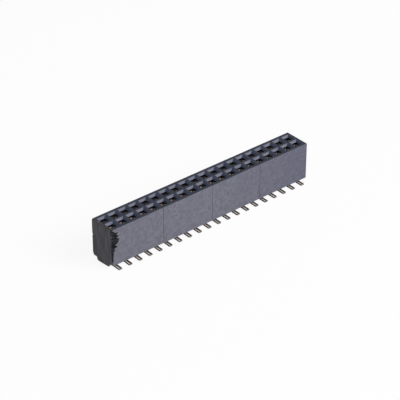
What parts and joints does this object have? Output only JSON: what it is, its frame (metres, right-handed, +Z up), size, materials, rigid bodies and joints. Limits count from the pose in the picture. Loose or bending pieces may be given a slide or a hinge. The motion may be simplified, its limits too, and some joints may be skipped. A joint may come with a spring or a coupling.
{
  "type": "board to board connector",
  "caption": "Upright surface-mount socket strip: a double row of funnel-mouthed spring contacts in a dark moulded housing, with gull-wing solder feet along both sides.",
  "frame": {"origin": "on the board's surface, under the middle of the contact pattern", "axes": "+X along the strip towards its moulded end, +Y across the rows towards the back row, +Z up out of the board towards the mating face"},
  "size_m": [0.0257, 0.0038, 0.0047],
  "materials": {
    "moulding": "fine moulded matt, dark charcoal liquid crystal polymer",
    "plating": "gold plated phosphor bronze, tin plated towards the solder feet"
  },
  "bodies": {
    "root": {"housing": "moulding", "contact_front_01": "plating", "contact_front_02": "plating", "contact_front_03": "plating", "contact_front_04": "plating", "contact_front_05": "plating", "contact_front_06": "plating", "contact_front_07": "plating", "contact_front_08": "plating", "contact_front_09": "plating", "contact_front_10": "plating", "contact_front_11": "plating", "contact_front_12": "plating", "contact_front_13": "plating", "contact_front_14": "plating", "contact_front_15": "plating", "contact_front_16": "plating", "contact_front_17": "plating", "contact_front_18": "plating", "contact_front_19": "plating", "contact_front_20": "plating", "contact_back_01": "plating", "contact_back_02": "plating", "contact_back_03": "plating", "contact_back_04": "plating", "contact_back_05": "plating", "contact_back_06": "plating", "contact_back_07": "plating", "contact_back_08": "plating", "contact_back_09": "plating", "contact_back_10": "plating", "contact_back_11": "plating", "contact_back_12": "plating", "contact_back_13": "plating", "contact_back_14": "plating", "contact_back_15": "plating", "contact_back_16": "plating", "contact_back_17": "plating", "contact_back_18": "plating", "contact_back_19": "plating", "contact_back_20": "plating"}
  },
  "joints": []
}
